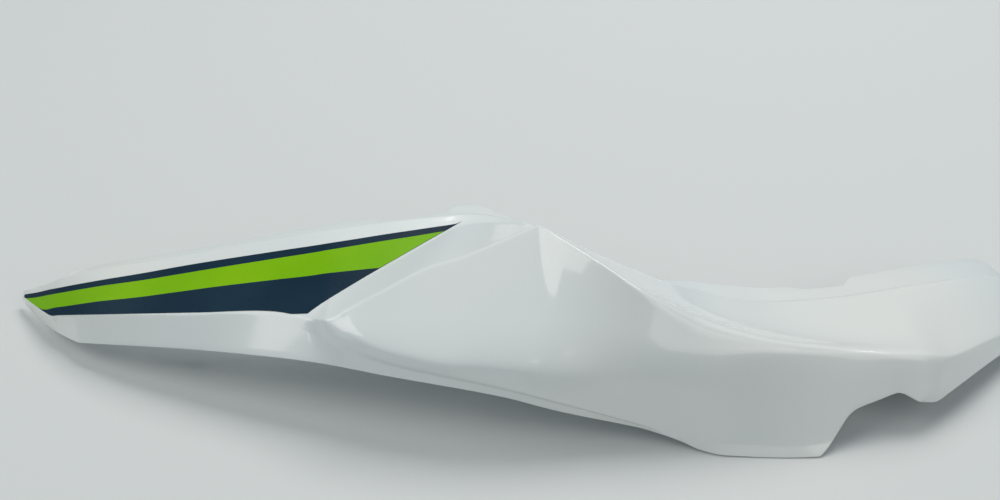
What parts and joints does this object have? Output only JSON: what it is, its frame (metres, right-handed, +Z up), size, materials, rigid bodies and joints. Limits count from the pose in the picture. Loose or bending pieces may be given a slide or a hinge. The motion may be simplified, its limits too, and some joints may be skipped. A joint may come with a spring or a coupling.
{
  "type": "motorcycle tail side fairing",
  "caption": "One moulded side panel of a motorcycle tail: slim flank with a striped film, raised shoulder, notched side wall, screw lug, box bracket and hook tabs.",
  "frame": {"origin": "centre of the footprint, on the floor that the panel lies on", "axes": "+X from the tail tip to the nose, +Y to the seat side, +Z up out of the painted face"},
  "size_m": [0.704, 0.1597, 0.1001],
  "materials": {
    "pearl_white_abs": "pearl white paint under clear coat on ABS",
    "printed_film": "gloss printed vinyl film, dark blue with a lime field"
  },
  "bodies": {
    "root": {"fairing_panel": "pearl_white_abs", "side_film": "printed_film"}
  },
  "joints": []
}
